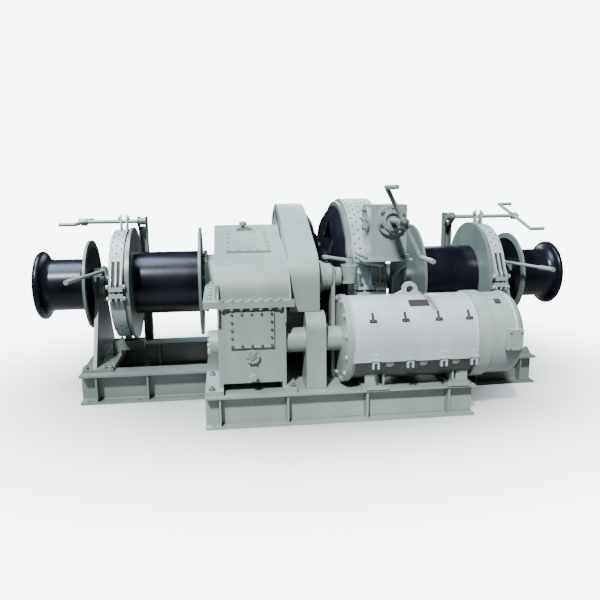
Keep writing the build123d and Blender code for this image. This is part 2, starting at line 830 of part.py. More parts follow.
def clutch_lever(side):
    """Hand lever of a drum clutch, on an upright pin."""
    word = "left" if side < 0 else "right"
    low = lever_z - 2 * lever_r + seat_gap
    knee = (side * (lever_x + 95), lever_y - 345, lever_z)
    with BuildPart() as lever:
        with BuildSketch(Plane.XY.offset(low)):
            with Locations((side * lever_x, lever_y)):
                Circle(lever_boss_r)
        extrude(amount=4 * lever_r)
        rod((side * (lever_x + 4), lever_y - pin_r - 5, lever_z), knee, lever_r)
        rod(knee, (side * (lever_x + 122), lever_y - 455, lever_z), grip_r)
        with BuildSketch(Plane.XY.offset(low - 1)):
            with Locations((side * lever_x, lever_y)):
                Circle(pin_r + running_gap)
        extrude(amount=4 * lever_r + 4, mode=Mode.SUBTRACT)
    finish(lever, word + "_clutch_lever")


def centre_lever():
    """Hand lever over the pinion bearing, with a shifting shoe at its inner end."""
    fall = 0.16
    centre_z = lever_stand_z + lever_r + 15
    inner = lever_stand_x - 140
    knee = lever_stand_x + 90
    outer = lever_stand_x + 198
    with BuildPart() as lever:
        with BuildSketch(Plane.XY.offset(lever_stand_z + seat_gap)):
            with Locations((lever_stand_x, guard_pinion_y)):
                Circle(lever_boss_r)
        extrude(amount=2 * lever_r + 18)
        rod((inner, guard_pinion_y, centre_z + fall * 140),
            (knee, guard_pinion_y, centre_z - fall * 90), lever_r)
        rod((knee, guard_pinion_y, centre_z - fall * 90),
            (outer, guard_pinion_y, centre_z - fall * 198), grip_r - 1)
        with Locations((inner, guard_pinion_y, centre_z + fall * 140)):
            Box(30, 70, 14)
        with BuildSketch(Plane.XY.offset(lever_stand_z - 1)):
            with Locations((lever_stand_x, guard_pinion_y)):
                Circle(pin_r + running_gap)
        extrude(amount=2 * lever_r + 30, mode=Mode.SUBTRACT)
    finish(lever, "centre_clutch_lever")


def pinion_bearing():
    """Outer bearing of the pinion shaft on its own column, with the stand of the lever."""
    with BuildPart() as bearing:
        for x_low, x_high, radius in ((guard_right, 6, pinion_ring_r - 8),
                                      (guard_right + 12, guard_right + 34, pinion_ring_r),
                                      (6, pinion_plate_x, pinion_ring_r - 14)):
            with BuildSketch(Plane.YZ.offset(x_low)):
                with Locations((pinion_y, pinion_z)):
                    Circle(radius)
            extrude(amount=x_high - x_low)
        with BuildSketch(Plane.XY.offset(beam_h)):
            with Locations((pinion_plate_x + 10, pinion_y)):
                Rectangle(20, 2 * pinion_half)
        extrude(amount=pinion_z + pinion_half - beam_h)
        with BuildSketch(Plane.YZ.offset(pinion_plate_x + 20)):
            with Locations((pinion_y, pinion_z)):
                Circle(pinion_half - 6)
        extrude(amount=38)
        with BuildSketch(Plane.XY.offset(pinion_z - 42)):
            with Locations(((pinion_plate_x + lever_stand_x) / 2, guard_pinion_y)):
                Rectangle(lever_stand_x - pinion_plate_x, 60)
        extrude(amount=14)
        with BuildSketch(Plane.XY.offset(pinion_z - 42)):
            with Locations((lever_stand_x, guard_pinion_y)):
                Circle(34)
        with BuildSketch(Plane.XY.offset(lever_stand_z)):
            with Locations((lever_stand_x, guard_pinion_y)):
                Circle(52)
        loft()
        with BuildSketch(Plane.XY.offset(lever_stand_z)):
            with Locations((lever_stand_x, guard_pinion_y)):
                Circle(pin_r)
        extrude(amount=2 * lever_r + 20)
    finish(bearing, "pinion_bearing")


def brake_box():
    """Gear box of the anchor brake screw on its stand."""
    with BuildPart() as box:
        with BuildSketch(Plane.XY.offset(box_z0)):
            with Locations(((box_x0 + box_x1) / 2, (box_y0 + box_y1) / 2)):
                Rectangle(box_x1 - box_x0, box_y1 - box_y0)
        extrude(amount=box_z1 - box_z0)
        with BuildSketch(Plane.XZ.offset(-box_y0)):
            with Locations((spindle_x, spindle_z)):
                Circle(82)
        extrude(amount=22)
        with BuildSketch(Plane.YZ.offset(box_x0)):
            with Locations(((box_y0 + box_y1) / 2, spindle_z)):
                Circle(72)
        extrude(amount=-14)
        with BuildSketch(Plane.XZ.offset(-box_y0 + 22)):
            with Locations((spindle_x, spindle_z)):
                Circle(spindle_r + running_gap)
        extrude(amount=-122, mode=Mode.SUBTRACT)
    finish(box, "brake_box")
    plate_z = box_z0 - box_plate_t
    cheek = 14
    with BuildPart() as stand:
        with BuildSketch(Plane.XY.offset(plate_z)):
            with Locations(((box_plate_left + box_plate_right) / 2, (box_y0 + box_y1) / 2)):
                Rectangle(box_plate_right - box_plate_left, box_y1 - box_y0 + 40)
            with Locations(((column_in + column_out) / 2, (box_y1 + column_back) / 2 - 25)):
                Rectangle(column_out - column_in, column_back - box_y1 + 50)
        extrude(amount=box_plate_t)
        with BuildSketch(Plane.YZ.offset(column_in)):
            with BuildLine():
                Polyline((box_y0, plate_z), (box_y0, plate_z - 28), (column_front, plate_z - 120),
                         (column_back, plate_z - 120), (column_back, plate_z), close=True)
            make_face()
        extrude(amount=cheek)
        with BuildSketch(Plane.XY.offset(beam_h)):
            with Locations(((column_in + column_out) / 2, column_back - 5)):
                Rectangle(column_out - column_in, 10)
            with Locations((column_in + cheek / 2, (column_front + column_back) / 2),
                           (column_out - cheek / 2, (column_front + column_back) / 2)):
                Rectangle(cheek, column_back - column_front)
        extrude(amount=plate_z - beam_h)
    finish(stand, "brake_box_stand")


def band_anchor():
    """Two plates from the rear beam up to the rear lug of the lower anchor band."""
    lug_z = shaft_z - 32
    with BuildPart() as anchor:
        for x_plate in (strip_one + strip_w / 2 - 6, strip_two + strip_w / 2 - 6):
            with BuildSketch(Plane.YZ.offset(x_plate)):
                with BuildLine():
                    Polyline((380, beam_h), (frame_y, beam_h), (565, 520), (565, lug_z),
                             (533, lug_z), (530, 560), (505, 480), (450, 380), (400, 310),
                             (380, 290), close=True)
                make_face()
            extrude(amount=12)
    finish(anchor, "band_anchor")


def brake_screw():
    """Screw from the brake box down to the nut block on the anchor band."""
    band_edge = -(anchor_wheel_r + band_gap + anchor_band_t + anchor_lug)
    nut_z = shaft_z + 10
    with BuildPart() as screw:
        with BuildSketch(Plane.XY.offset(nut_z)):
            with Locations((screw_x, screw_y)):
                Circle(screw_r)
        extrude(amount=box_z0 - box_plate_t - nut_z)
        with BuildSketch(Plane.XY.offset(nut_z)):
            with Locations((screw_x, (screw_y - 2 * screw_r + band_edge) / 2)):
                Rectangle(56, band_edge - screw_y + 2 * screw_r)
        extrude(amount=48)
    finish(screw, "brake_screw")


def crank(name, centre, axis, arm, lean, grip, spindle_start, spindle_end):
    """Double-ended crank on its spindle; lean is the first arm's angle in its plane."""
    with BuildPart() as handle:
        if axis == "x":
            side = 1 if grip > 0 else -1
            ends = [(centre[0], centre[1] + s * arm * cos(radians(lean)),
                     centre[2] + s * arm * sin(radians(lean))) for s in (-1, 1)]
            rod((spindle_start, centre[1], centre[2]), (spindle_end, centre[1], centre[2]),
                spindle_r)
            rod((centre[0] - side * 18, centre[1], centre[2]),
                (centre[0] + side * 18, centre[1], centre[2]), crank_hub_r)
            rod(ends[0], ends[1], crank_bar_r)
            for end in ends:
                rod(end, (end[0] + grip, end[1], end[2]), crank_bar_r)
                with Locations(end):
                    Sphere(crank_bar_r)
        else:
            ends = [(centre[0] + s * arm * sin(radians(lean)), centre[1],
                     centre[2] + s * arm * cos(radians(lean))) for s in (-1, 1)]
            rod((centre[0], spindle_start, centre[2]), (centre[0], spindle_end, centre[2]),
                spindle_r)
            rod((centre[0], centre[1] - 18, centre[2]), (centre[0], centre[1] + 18, centre[2]),
                crank_hub_r)
            rod(ends[0], ends[1], crank_bar_r)
            for end in ends:
                rod(end, (end[0], end[1] + grip, end[2]), crank_bar_r)
                with Locations(end):
                    Sphere(crank_bar_r)
    finish(handle, name)


def brake_post(side):
    """Rear channel post whose two cheeks reach forward and carry the brake spindle."""
    word = "left" if side < 0 else "right"
    cheek = 8
    with BuildPart() as post:
        with BuildSketch(Plane.XY.offset(beam_h)):
            with Locations((side * (post_in + post_out) / 2, 426)):
                Rectangle(post_out - post_in, cheek)
            with Locations((side * (post_in + cheek / 2), 400), (side * (post_out - cheek / 2), 400)):
                Rectangle(cheek, 60)
        extrude(amount=crank_z - 40 - beam_h)
        for x_cheek in (post_in, post_out - cheek):
            with BuildSketch(Plane.YZ.offset(side * x_cheek)):
                with BuildLine():
                    Polyline((430, crank_z - 60), (430, crank_z + 30), (crank_y, crank_z + 30),
                             (crank_y, crank_z - 30), (370, crank_z - 60), close=True)
                make_face()
                with Locations((crank_y, crank_z)):
                    Circle(30)
            extrude(amount=side * cheek)
        with BuildSketch(Plane.YZ.offset(side * post_in)):
            with Locations((crank_y, crank_z)):
                Circle(24)
        extrude(amount=side * (post_out - post_in))
        with BuildSketch(Plane.YZ.offset(side * post_in)):
            with Locations((crank_y, crank_z)):
                Circle(spindle_r + running_gap)
        extrude(amount=side * (post_out - post_in), mode=Mode.SUBTRACT)
    finish(post, word + "_brake_post")


def brake_anchor(side):
    """Anchor box under a drum brake band, cantilevered from the pedestal base plate."""
    word = "left" if side < 0 else "right"
    inner = band_in - 62
    box_low = beam_h + 48
    with BuildPart() as anchor:
        with BuildSketch(Plane.XY.offset(beam_h + pedestal_plate_t)):
            with Locations((side * (pedestal_plate_in + 26), 0)):
                Rectangle(52, 90)
        extrude(amount=90)
        with BuildSketch(Plane.XY.offset(box_low)):
            with Locations((side * (inner + pedestal_plate_in + 52) / 2, 0)):
                Rectangle(pedestal_plate_in + 52 - inner, 90)
        extrude(amount=60)
        with BuildSketch(Plane.XY.offset(box_low + 60)):
            with Locations((side * (band_in + band_out) / 2, 0)):
                Rectangle(band_w / 2, 34)
        extrude(amount=shaft_z - wheel_r - band_gap - band_t - seat_gap - box_low - 60)
    finish(anchor, word + "_brake_anchor")


side_frame(-1)
side_frame(1)
bed()
gearbox()
gear_guard()
coupling()
motor()
base_span = (pedestal_plate_in, pedestal_plate_out)
drum_band_r = wheel_r + band_gap
for side, word in ((-1, "left"), (1, "right")):
    pedestal(word + "_pedestal", pedestal_in, pedestal_t, side, (bearing_in, bearing_out),
             base_span, pedestal_foot_half, pedestal_plate_half)
    band(word + "_band_upper", side, (band_in,), (band_out,), drum_band_r, band_t, 1, band_lug,
         ears=(band_in + moving_gap, (band_in + band_out) / 2 + 3))
    band(word + "_band_lower", side, (band_in,), (band_out,), drum_band_r, band_t, -1, band_lug)
    drum(side)
    warping_head(side)
    clutch_lever(side)
    brake_post(side)
    brake_anchor(side)
pedestal("centre_pedestal", 600, pedestal_t, 1, (586, 655), (550, 685), 260, 280)
strips_low = (strip_one, strip_two)
strips_high = (strip_one + strip_w, strip_two + strip_w)
anchor_band_r = anchor_wheel_r + band_gap
for word, half in (("upper", 1), ("lower", -1)):
    band("anchor_band_" + word, 1, strips_low, strips_high, anchor_band_r, anchor_band_t, half,
         anchor_lug)
main_shaft()
chain_wheel()
centre_lever()
pinion_bearing()
brake_box()
brake_screw()
band_anchor()
crank("left_brake_crank", (left_crank_x, crank_y, crank_z), "x", crank_arm, 0, -100, -post_in,
      left_crank_x)
crank("right_brake_crank", (right_crank_x, crank_y, crank_z), "x", crank_arm, 17, 100, post_in,
      right_crank_x)
crank("centre_brake_crank", (spindle_x, centre_crank_y, spindle_z), "y", centre_crank_arm, -28,
      -190, box_y0 + 90, centre_crank_y)

for piece in pieces:
    export_step(piece, "parts/" + piece.label + ".step")
    print(piece.label, round(piece.volume / 1e6, 1))
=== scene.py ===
# %% [markdown]
# # Dressing an anchor windlass
#
# The CAD part gives every body its true size and place. This lesson adds what a camera sees
# beyond that: layers of paint, machined steel, bolts, rivets and weld beads. Everything is
# computed, so the script needs no picture file. It starts by loading the frame.
# A few heights and axes that many fittings share are named here, in metres.

import bpy
import json
import numpy as np
from math import cos, pi, radians, sin, tau
from mathutils import Matrix, Vector


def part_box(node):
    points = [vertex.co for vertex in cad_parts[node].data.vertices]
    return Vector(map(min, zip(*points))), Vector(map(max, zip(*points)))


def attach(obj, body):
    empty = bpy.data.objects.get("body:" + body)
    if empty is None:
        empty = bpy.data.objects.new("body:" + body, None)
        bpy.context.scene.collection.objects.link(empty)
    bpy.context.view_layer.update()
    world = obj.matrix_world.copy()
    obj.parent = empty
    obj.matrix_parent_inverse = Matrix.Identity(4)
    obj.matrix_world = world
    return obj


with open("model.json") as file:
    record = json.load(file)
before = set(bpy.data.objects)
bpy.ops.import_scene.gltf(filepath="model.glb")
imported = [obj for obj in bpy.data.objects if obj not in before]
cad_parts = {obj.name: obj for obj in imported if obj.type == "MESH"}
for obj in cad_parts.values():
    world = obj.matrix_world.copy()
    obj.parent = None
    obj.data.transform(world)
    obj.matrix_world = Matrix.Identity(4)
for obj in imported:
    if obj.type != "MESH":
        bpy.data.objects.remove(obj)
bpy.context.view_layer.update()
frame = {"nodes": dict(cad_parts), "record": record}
nodes = frame["nodes"]
shaft_z = 0.665  # height of the main shaft, whose axis lies on y = 0
motor_y, motor_z = -0.750, 0.438  # axis of the motor and of the gearbox input
deck_z, base_z = 0.180, 0.198  # top of the bed plate, and of the base plates on the frame
left, right, front = (-1, 0, 0), (1, 0, 0), (0, -1, 0)  # ways that fittings face
down = (0, 0, -1)

# %% [markdown]
# ## A small language for shader maths
#
# A shader graph is a formula drawn as boxes. Building it box by box hides the formula, so one
# class stands for "an output of a node" and takes part in ordinary arithmetic: each operator
# adds a Math node and returns its output. Colours go through Mix nodes. Any other node comes
# from one method that takes the type, its settings and what feeds its sockets.


# %% Shader values that do arithmetic
class Tap:
    """One output of a shader node; + - * ** and the helpers below add nodes to it."""

    def __init__(self, tree, socket):
        self.tree, self.socket = tree, socket

    def node(self, kind, settings=None, feeds=None, out=0):
        """Add any node: settings are its properties, feeds its inputs by name or index."""
        made = self.tree.nodes.new(kind)
        for key, value in (settings or {}).items():
            setattr(made, key, value)
        for key, value in (feeds or {}).items():
            if isinstance(value, Tap):
                self.tree.links.new(value.socket, made.inputs[key])
            else:
                made.inputs[key].default_value = value
        return Tap(self.tree, made.outputs[out])

    def math(self, kind, other=0.0, swap=False):
        """A Math node on this value and another one; swap puts the other one first."""
        first, second = (other, self) if swap else (self, other)
        return self.node("ShaderNodeMath", {"operation": kind}, {0: first, 1: second})

    def __add__(self, other):
        return self.math("ADD", other)

    def __sub__(self, other):
        return self.math("SUBTRACT", other)

    def __rsub__(self, other):
        return self.math("SUBTRACT", other, swap=True)

    def __mul__(self, other):
        return self.math("MULTIPLY", other)

    def __pow__(self, other):
        return self.math("POWER", other)

    __radd__ = __add__

    def over(self, low, high):
        """0 below low, 1 above high and a smooth ramp between."""
        feeds = {"Value": self, "From Min": low, "From Max": high}
        return self.node("ShaderNodeMapRange", {"interpolation_type": "SMOOTHSTEP"}, feeds)

    def blend(self, first, second):
        """The colour first where this value is 0 and second where it is 1."""
        return self.node("ShaderNodeMix", {"data_type": "RGBA"}, {0: self, 6: first, 7: second},
                         out=2)

    def part(self, index):
        """One coordinate of a vector: 0 for x, 1 for y and 2 for z."""
        return self.node("ShaderNodeSeparateXYZ", {}, {0: self}, out=index)

    def noise(self, scale, detail=4.0, rough=0.55, stretch=(1, 1, 1), shift=0.0):
        """Noise in the object's own metres, `scale` features per metre."""
        sized = self.node("ShaderNodeVectorMath", {"operation": "MULTIPLY"},
                          {0: self, 1: stretch})
        moved = self.node("ShaderNodeVectorMath", {"operation": "ADD"},
                          {0: sized, 1: (shift, shift * 0.7, -shift)})
        return self.node("ShaderNodeTexNoise", {}, {"Vector": moved, "Scale": scale,
                                                    "Detail": detail, "Roughness": rough})


def start(name):
    """A new material, its Principled shader and its object coordinates."""
    material = bpy.data.materials.new(name)
    material.use_nodes = True
    tree = material.node_tree
    shader = tree.nodes["Principled BSDF"]
    place = Tap(tree, None).node("ShaderNodeTexCoord", out="Object")
    return material, shader, place


def wire(shader, **sockets):
    """Feed the Principled shader; a Tap is linked and a number or colour is set."""
    for key, value in sockets.items():
        slot = shader.inputs[key.replace("_", " ")]
        if isinstance(value, Tap):
            value.tree.links.new(value.socket, slot)
        else:
            slot.default_value = value


def bumps(height, strength, distance):
    """A normal from a height that varies from 0 to 1 over `distance` metres."""
    return height.node("ShaderNodeBump", {}, {"Height": height, "Strength": strength,
                                              "Distance": distance})


def rgba(colour, times=1.0):
    """The colour times a number, no channel above 1, with an alpha of 1."""
    return tuple(min(1.0, channel * times) for channel in colour) + (1,)


print("shader language ready")

# %% [markdown]
# ## Paint
#
# Deck machinery gets a thick two-pack paint, sprayed on in the shop. Close up it has an
# orange-peel skin; from a few metres its grey-green wanders a little in tone, runs darker in
# vertical streaks, and shows small dark specks where dust settled. Each effect is one noise at
# its own scale, and the bump is only the two finest of them.


# %% Paint, black gloss and bare metals
def paint(name, base, rough=0.42, wander=0.10, specks=0.35, shift=0.0, coat=0.25):
    """Sprayed paint that wanders in tone by that share and has dark specks."""
    material, shader, place = start(name)
    broad = place.noise(2.2, 5.0, shift=shift)
    streak = place.noise(9.0, 3.0, stretch=(1, 1, 0.12), shift=shift + 3)
    grain = place.noise(70.0, 3.0, shift=shift)
    dots = place.noise(160.0, 2.0, shift=shift + 5).over(0.70, 0.76) * specks
    light, dark = rgba(base, 1 + wander), rgba(base, 1 - 1.4 * wander)
    tone = (broad * 0.6 + streak * 0.4).over(0.32, 0.68)
    colour = dots.blend(tone.blend(dark, light), rgba(base, 0.35))
    peel = place.noise(260.0, 2.0, shift=shift)
    skin = peel * 0.7 + grain * 0.3
    wire(shader, Base_Color=colour, Roughness=rough + (grain - 0.5) * 0.18,
         Coat_Weight=coat, Coat_Roughness=0.25, Normal=bumps(skin, 0.25, 0.0006))
    return material


def gloss_black(name, turned_marks=False):
    """Black gloss paint under a little dust, with the marks of turning below it if asked."""
    material, shader, place = start(name)
    cloud = place.noise(5.0, 4.0)
    dust = place.noise(120.0, 3.0).over(0.62, 0.75)
    colour = cloud.over(0.35, 0.7).blend((0.0015, 0.0015, 0.003, 1), (0.005, 0.005, 0.010, 1))
    colour = (dust * 0.12).blend(colour, (0.03, 0.03, 0.045, 1))
    fine = place.noise(180.0, 2.0)
    marks = fine
    if turned_marks:
        marks = fine * 0.4 + place.noise(90.0, 2.0, stretch=(1, 0.05, 0.05)) * 0.6
    wire(shader, Base_Color=colour, Roughness=0.20 + cloud * 0.16 + dust * 0.2,
         Specular_IOR_Level=0.24, Specular_Tint=(0.84, 0.86, 1.0, 1.0),
         Normal=bumps(marks, 0.22, 0.0008))
    return material


def bare_steel(name, base, rough, stretch, stain):
    """Unpainted steel: fine lines, stretched to show how it was machined, and dull stains."""
    material, shader, place = start(name)
    lines = place.noise(220.0, 3.0, stretch=stretch)
    patch = place.noise(14.0, 4.0).over(0.45, 0.72)
    colour = (patch * stain).blend(rgba(base), rgba(base, 0.45))
    wire(shader, Base_Color=colour, Metallic=1.0, Roughness=rough + lines * 0.15 + patch * 0.1,
         Normal=bumps(lines, 0.3, 0.0004))
    return material


def screw_thread(name, base, pitch, block_z):
    """Threads are a saw-tooth of the height above block_z, and below it is dark paint."""
    material, shader, place = start(name)
    height = place.part(2)
    turns = height * (1.0 / pitch)
    tooth = turns.math("FRACT")
    ridge = (tooth - 0.5).math("ABSOLUTE") * 2.0
    grime = place.noise(60.0, 3.0)
    colour = (ridge * 0.6 + grime * 0.4).blend((0.13, 0.06, 0.04, 1), rgba(base))
    bare = height.over(block_z - 0.0002, block_z + 0.0002)
    colour = bare.blend((0.06, 0.075, 0.07, 1), colour)
    wire(shader, Base_Color=colour, Metallic=bare * 0.75, Roughness=0.32 + grime * 0.2,
         Normal=bumps(ridge * bare, 0.8, 0.003))
    return material


def disc_paint_and_shade(name, outer, inner, edge):
    """A darker copy of the grey paint outside a circle about the shaft's axis, as painted shade,
    and inside it black, partly paint of the hollow and partly painted shade.
    """
    material, shader, place = start(name)
    radius = (place.part(1) ** 2.0 + (place.part(2) - shaft_z) ** 2.0) ** 0.5
    cloud = place.noise(6.0, 4.0).over(0.35, 0.68)
    grain = place.noise(80.0, 3.0)
    pale = cloud.blend(rgba(outer, 0.85), rgba(outer))
    deep = cloud.blend(rgba(inner), rgba(inner, 2.0))
    # painted shade: the outer tone is darkened, and the hollow inside the edge is near black
    colour = radius.over(edge - 0.002, edge + 0.001).blend(deep, pale)
    wire(shader, Base_Color=colour, Roughness=0.36 + (grain - 0.5) * 0.16,
         Specular_IOR_Level=0.25, Normal=bumps(grain, 0.2, 0.0006))
    return material


def stator_paint_and_shade(name, pale, deep, flange_x, body_r):
    """Pale paint on the end flange and the feet, and painted shade, a deep tone, on the body
    under its cover.
    """
    material, shader, place = start(name)
    radius = ((place.part(1) - motor_y) ** 2.0 + (place.part(2) - motor_z) ** 2.0) ** 0.5
    inside = 1.0 - radius.over(body_r, body_r + 0.001)
    # painted shade: the body beyond the flange and inside body_r takes the deep tone
    under = place.part(0).over(flange_x, flange_x + 0.002) * inside
    cloud = place.noise(6.0, 4.0).over(0.35, 0.68)
    grain = place.noise(80.0, 3.0)
    outside = cloud.blend(rgba(pale, 0.88), rgba(pale))
    shaded_body = cloud.blend(rgba(deep, 0.8), rgba(deep))
    wire(shader, Base_Color=under.blend(outside, shaded_body), Roughness=0.38 + (grain - 0.5) * 0.16,
         Coat_Weight=0.2, Coat_Roughness=0.25, Normal=bumps(grain, 0.2, 0.0006))
    return material


grey = (0.215, 0.268, 0.250)
materials = {
    # the head discs' darker outer ring is painted shade, and their black centre is black paint
    # with painted shade of the hollow
    "disc": disc_paint_and_shade("head_disc_paint", (0.115, 0.150, 0.140), (0.002, 0.002, 0.004),
                       edge=0.245),
    # a darker copy of the grey paint: painted shade on the frame, its stands, posts and welds
    "frame": paint("frame_shaded_paint", (0.105, 0.136, 0.125), shift=1.0),
    "bed": paint("bed_paint", (0.205, 0.255, 0.238), shift=1.5),
    "box": paint("gearbox_paint", grey, shift=2.0),
    # a lighter copy of the grey paint: painted light on the gear guard and the brake box
    "guard": paint("guard_lit_paint", (0.225, 0.280, 0.272), shift=3.0),
    "motor": paint("motor_paint", (0.38, 0.45, 0.465), rough=0.34, shift=4.0, coat=0.4),
    "bell": paint("bell_paint", (0.27, 0.33, 0.325), rough=0.36, shift=4.5, coat=0.3),
    # the motor body's deep tone under its cover is painted shade
    "stator": stator_paint_and_shade("stator_paint_and_shade", (0.25, 0.30, 0.285), (0.036, 0.050, 0.046),
                           flange_x=0.118, body_r=0.2306),
    "shade": paint("dark_paint", (0.030, 0.042, 0.042), shift=5.0),
    "flange": paint("flange_paint", (0.112, 0.142, 0.129), rough=0.36, shift=6.0),
    "band": paint("band_paint", (0.28, 0.33, 0.33), wander=0.16, specks=0.8, shift=7.0),
    "crank": paint("crank_paint", (0.20, 0.255, 0.25), rough=0.36, shift=8.0),
    "black": gloss_black("black_gloss"),
    "wheel": gloss_black("black_cast", turned_marks=True),
    "shaft": bare_steel("machined_steel", (0.13, 0.15, 0.175), rough=0.46,
                        stretch=(1, 0.2, 0.2), stain=0.5),
    "bolt": bare_steel("dull_bolt", (0.22, 0.23, 0.23), rough=0.42, stretch=(1, 1, 1),
                       stain=0.6),
    "painted_bolt": paint("painted_bolt", (0.21, 0.25, 0.235), wander=0.2, shift=11.0),
    "dark_bolt": paint("dark_bolt", (0.06, 0.075, 0.07), wander=0.3, shift=12.0),
    "copper": screw_thread("copper_screw", (0.62, 0.33, 0.20), pitch=0.008, block_z=0.7234),
    "plate": paint("dark_plate", (0.05, 0.045, 0.045), rough=0.3, wander=0.3, specks=0.1),
    "pale": paint("pale_plate", (0.085, 0.080, 0.062), rough=0.4, wander=0.12, shift=9.0),
    # near-black sheets of painted shadow for the dark inside of the guard's openings and the
    # bands' slots
    "opening": paint("shadow_paint", (0.012, 0.014, 0.014), rough=0.7, shift=10.0, coat=0.0),
    "glass": paint("sight_glass", (0.16, 0.20, 0.185), rough=0.15, specks=0.0, coat=1.0),
}
finish_of = {
    "frame": "left_front_beam left_end_beam right_front_beam right_end_beam rear_beam "
             "bed_cross_beams left_pedestal right_pedestal centre_pedestal left_brake_post "
             "right_brake_post left_brake_anchor right_brake_anchor band_anchor",
    "bed": "bed_plate bed_front_beam",
    "box": "gearbox_lower gearbox_upper gearbox_covers coupling_cover coupling_housings "
           "brake_box_stand pinion_bearing",
    "guard": "gear_guard brake_box",
    "motor": "motor_cover",
    "bell": "motor_end_bell motor_terminal_box",
    "stator": "motor_body",
    "flange": "left_drum_flanges right_drum_flanges anchor_brake_wheel",
    "band": "left_band_upper left_band_lower right_band_upper right_band_lower "
            "anchor_band_upper anchor_band_lower",
    "crank": "left_brake_crank right_brake_crank centre_brake_crank left_clutch_lever "
             "right_clutch_lever centre_clutch_lever",
    "black": "left_drum right_drum left_warping_head right_warping_head",
    "disc": "left_head_disc right_head_disc",
    "wheel": "chain_wheel",
    "shaft": "main_shaft",
    "copper": "brake_screw",
}
for finish, names in finish_of.items():
    for node in names.split():
        nodes[node].data.materials.clear()
        nodes[node].data.materials.append(materials[finish])
undressed = set(nodes) - set(" ".join(finish_of.values()).split())
print(len(materials), "materials; nodes without one:", sorted(undressed))

# %% [markdown]
# ## Surfaces from numbers
#
# A turned part is a profile swept round an axis: point i of the profile and angle j of the
# turn give one vertex, so a whole surface is one grid computed at once. Small parts repeat in
# rows and rings. Each row is one template copied to many spots in whole arrays, then made
# into a single mesh, which is lighter than hundreds of objects.


# %% Turned surfaces, copies and meshes
def grid(rows, columns):
    """Quads between rows of vertices whose last column joins the first."""
    row, col = np.meshgrid(np.arange(rows - 1), np.arange(columns), indexing="ij")
    nxt = (col + 1) % columns
    return np.stack([row * columns + col, row * columns + nxt, (row + 1) * columns + nxt,
                     (row + 1) * columns + col], -1).reshape(-1, 4)


def turned(profile, sides=24):
    """Vertices (r cos a, r sin a, z) for each (r, z) of the profile and each angle a."""
    radius, height = np.array(profile, float).T
    angle = np.arange(sides) * tau / sides
    points = np.stack([np.outer(radius, np.cos(angle)), np.outer(radius, np.sin(angle)),
                       np.repeat(height[:, None], sides, 1)], -1).reshape(-1, 3)
    return points, grid(len(radius), sides)


def merged(*parts):
    """One (points, faces) from several."""
    points, faces, count = [], [], 0
    for p, f in parts:
        points.append(p)
        faces.append(f + count)
        count += len(p)
    return np.concatenate(points), np.concatenate(faces)


def box(size, centre=(0, 0, 0)):
    """A box of that size about its centre."""
    corner = np.array([(x, y, z) for x in (-1, 1) for y in (-1, 1) for z in (-1, 1)], float)
    faces = np.array([(0, 1, 3, 2), (4, 6, 7, 5), (0, 4, 5, 1), (2, 3, 7, 6), (0, 2, 6, 4),
                      (1, 5, 7, 3)])
    return corner * np.array(size) / 2 + np.array(centre), faces


def facing(direction, spin=0.0):
    """Rotation that takes +Z to the direction, after a spin about Z."""
    turn = Vector(direction).to_track_quat("Z", "Y").to_matrix()
    return np.array(turn @ Matrix.Rotation(spin, 3, "Z"))


def copies(template, spots, direction=(0, 0, 1)):
    """The template at every spot, its +Z along the direction (one, or one for each spot)."""
    points, faces = template
    spots = np.array(spots, float).reshape(-1, 3)
    ways = [direction] * len(spots) if np.ndim(direction) == 1 else direction
    spins = np.arange(len(spots)) * 0.7  # no two neighbours are turned alike
    turns = np.array([facing(way, spin) for way, spin in zip(ways, spins)])
    placed = np.einsum("nij,pj->npi", turns, points) + spots[:, None, :]
    shift = (np.arange(len(spots)) * len(points))[:, None, None]
    return placed.reshape(-1, 3), (faces[None] + shift).reshape(-1, faces.shape[1])


def piece(name, parts, material, body, smooth=False):
    """A mesh object that rides on a body."""
    points, faces = merged(*parts)
    mesh = bpy.data.meshes.new(name)
    mesh.from_pydata(points.tolist(), [], faces.tolist())
    mesh.validate()
    mesh.update()
    mesh.polygons.foreach_set("use_smooth", [smooth] * len(mesh.polygons))
    made = bpy.data.objects.new(name, mesh)
    bpy.context.scene.collection.objects.link(made)
    made.data.materials.append(materials[material])
    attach(made, body)
    return made


def hex_bolt(size):
    """Washer and chamfered hexagon head for a thread of that diameter, axis +Z."""
    washer = turned([(0.0, 0.0), (size * 1.1, 0.0), (size * 1.1, size * 0.16),
                     (0.0, size * 0.16)], 16)
    head = turned([(size * 0.98, size * 0.1), (size * 0.98, size * 0.74),
                   (size * 0.84, size * 0.84), (0.0, size * 0.84)], 6)
    return merged(washer, head)


def stud_nut(size):
    """Washer, nut and the end of its stud."""
    stud = turned([(size * 0.5, size * 0.1), (size * 0.5, size * 1.25), (size * 0.4, size * 1.35),
                   (0.0, size * 1.35)], 12)
    return merged(hex_bolt(size), stud)


def rivet(size):
    """A domed rivet head."""
    angle = np.linspace(0, pi / 2, 5)
    return turned(list(zip(size * np.cos(angle), 0.55 * size * np.sin(angle))), 10)


def ring(centre, radius, count, axis="x", first=0.0):
    """Spots on a circle about an axis through the centre."""
    angle = first + np.arange(count) * tau / count
    a, b = radius * np.cos(angle), radius * np.sin(angle)
    flat = np.zeros(count)
    offset = {"x": (flat, a, b), "y": (a, flat, b)}[axis]
    return np.array(centre, float) + np.stack(offset, -1)


def line(first, last, count):
    """Evenly spaced spots from the first point to the last."""
    return np.linspace(first, last, count)


def rim_quads(count):
    """Quads round the edge of a flat plate, given as one outline and then the other."""
    i = np.arange(count)
    j = (i + 1) % count
    return np.column_stack([i, j, j + count, i + count])


def span_of(node):
    """Lowest and highest corner of a CAD node as arrays."""
    low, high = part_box(node)
    return np.array(low), np.array(high)


print("mesh helpers ready")

